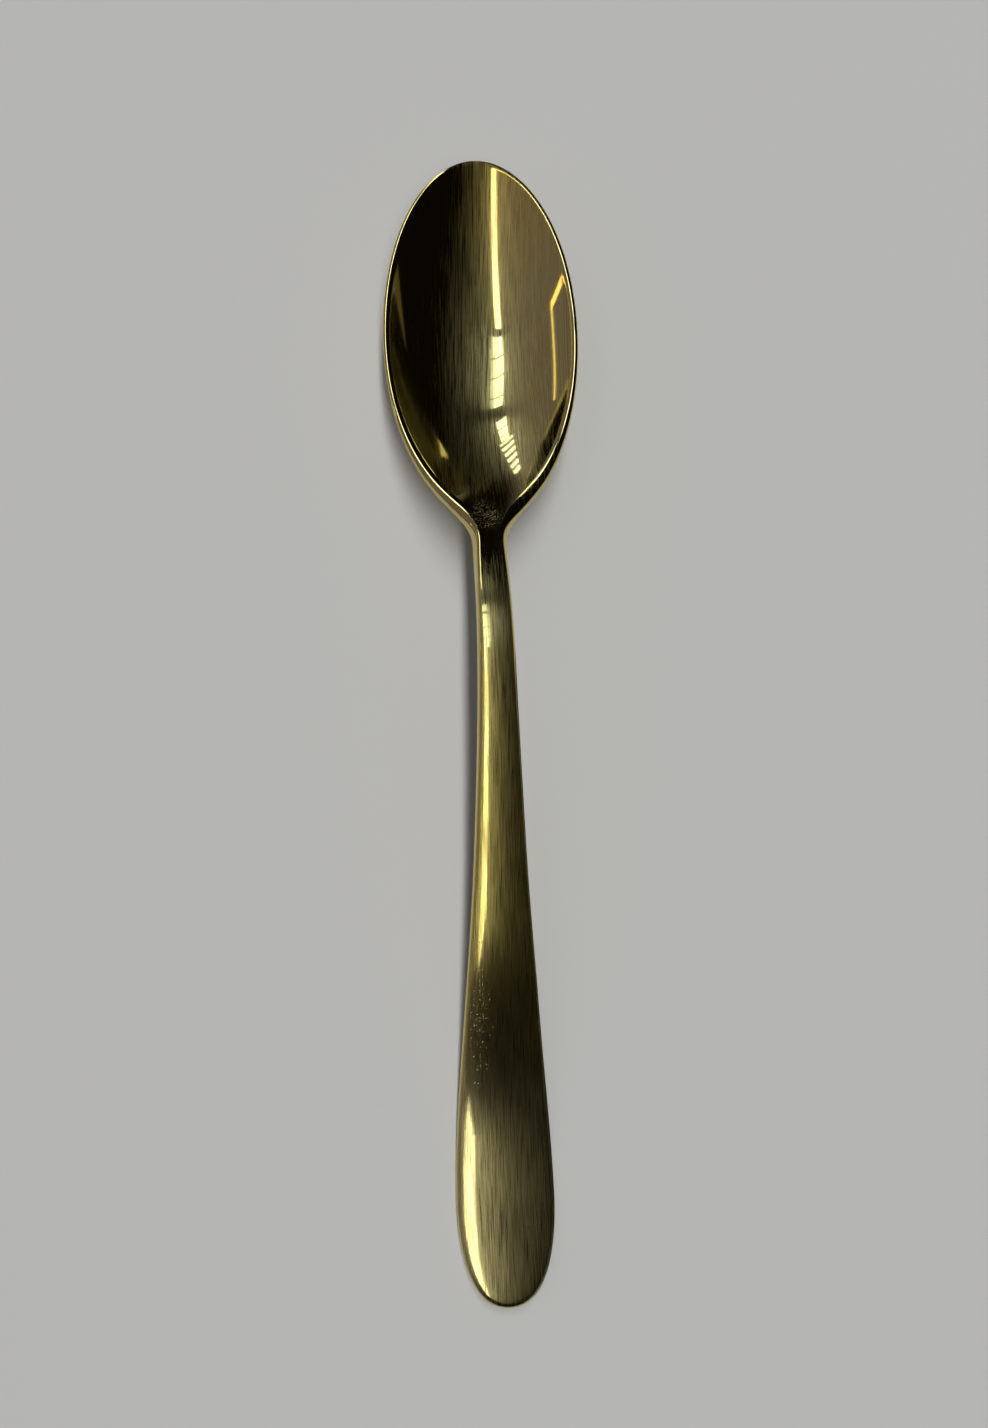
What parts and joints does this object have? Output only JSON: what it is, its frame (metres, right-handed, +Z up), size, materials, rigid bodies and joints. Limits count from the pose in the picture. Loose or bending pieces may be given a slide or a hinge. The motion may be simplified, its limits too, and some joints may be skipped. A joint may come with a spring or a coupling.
{
  "type": "tablespoon",
  "caption": "Gold-tone metal tablespoon: a dished oval bowl on a slim arched neck and a handle that widens into a rounded, slightly upturned paddle; for eating and serving.",
  "frame": {"origin": "on the table the spoon lies on, under the middle of the spoon's box", "axes": "+Y along the spoon towards the bowl's tip, +X across it to the right, +Z up out of the table"},
  "size_m": [0.0364, 0.205, 0.0191],
  "materials": {
    "gold_steel": "polished, fine lengthwise brushing, gold-tone coat"
  },
  "bodies": {
    "root": {"bowl": "gold_steel", "handle": "gold_steel"}
  },
  "joints": []
}
